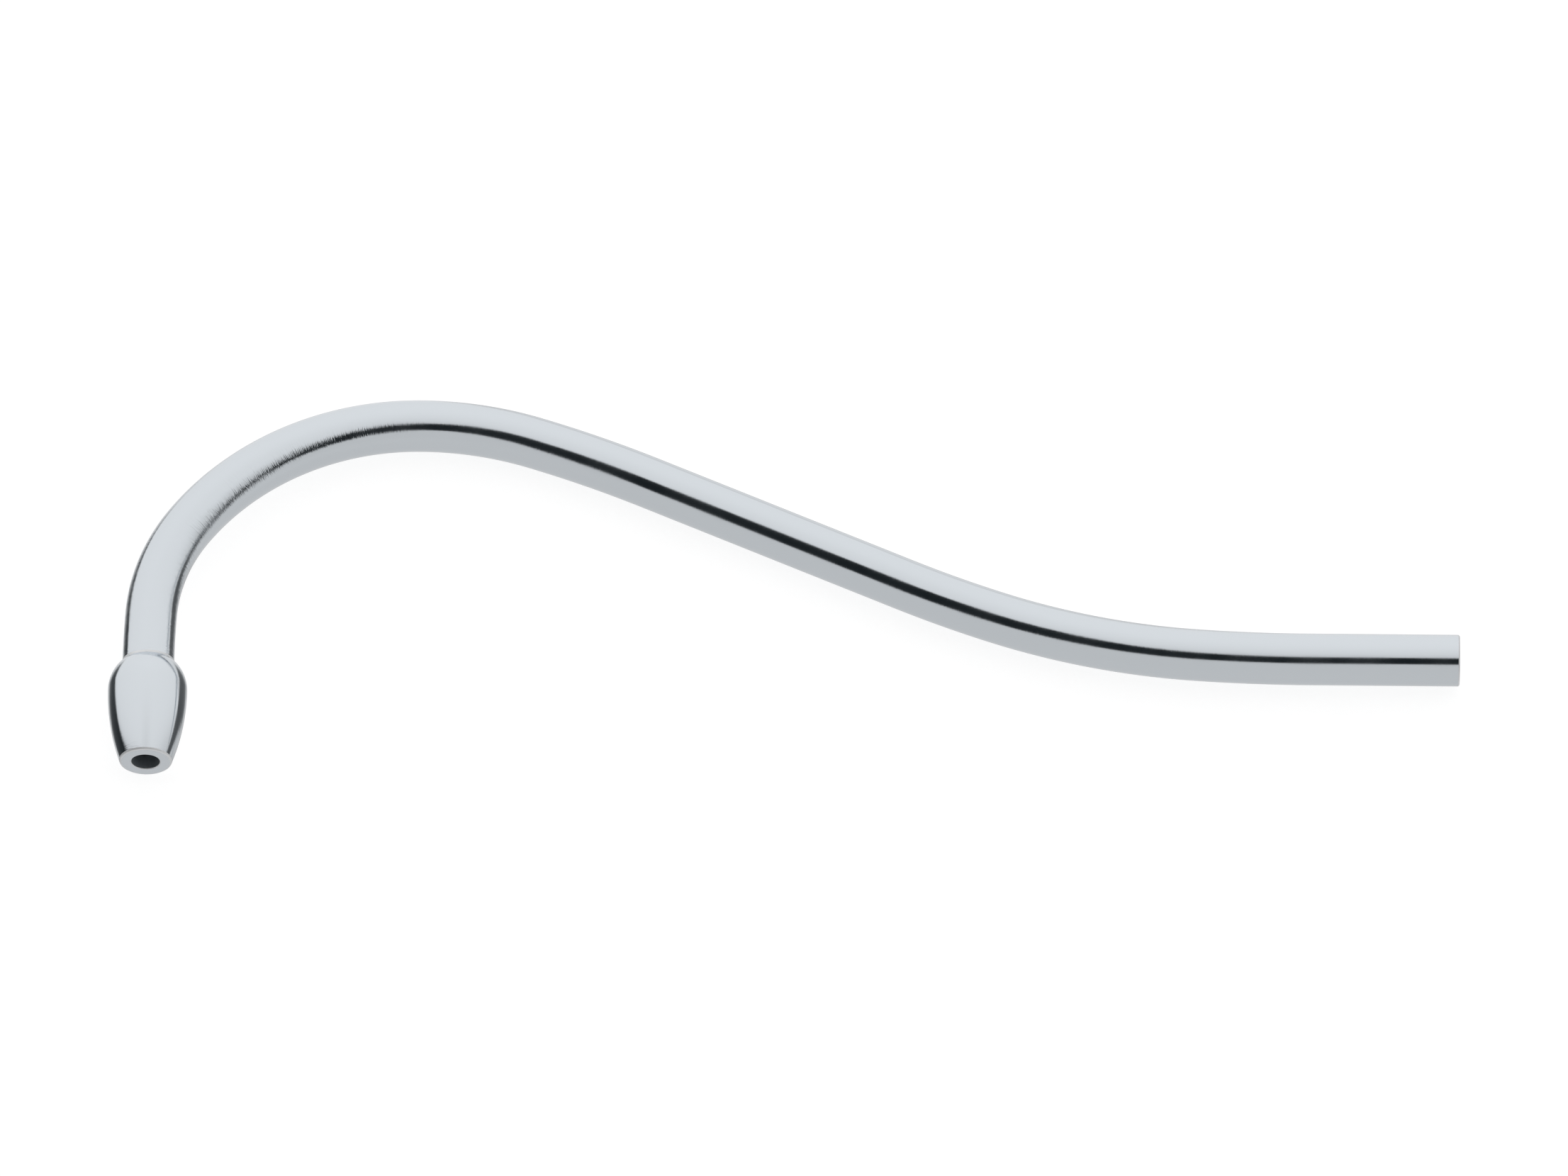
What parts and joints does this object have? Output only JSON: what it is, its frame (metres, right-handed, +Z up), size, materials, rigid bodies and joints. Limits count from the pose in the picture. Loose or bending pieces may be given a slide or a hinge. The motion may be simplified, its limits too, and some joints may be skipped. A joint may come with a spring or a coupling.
{
  "type": "antrum cannula",
  "caption": "Slim steel irrigation cannula: a thin-walled tube bent into a long flat S that ends in a downturned hook with a turned olive tip bored through its end face.",
  "frame": {"origin": "middle of the bounding box in plan, on the surface that the cannula lies on", "axes": "+X towards the tube's open end, along the straight end of the shaft; -Y the way the olive points; +Z up"},
  "size_m": [0.0784, 0.0242, 0.0046],
  "materials": {
    "tube_steel": "fine satin polish",
    "olive_steel": "turned and polished"
  },
  "bodies": {
    "root": {"bent_tube": "tube_steel", "olive_tip": "olive_steel"}
  },
  "joints": []
}
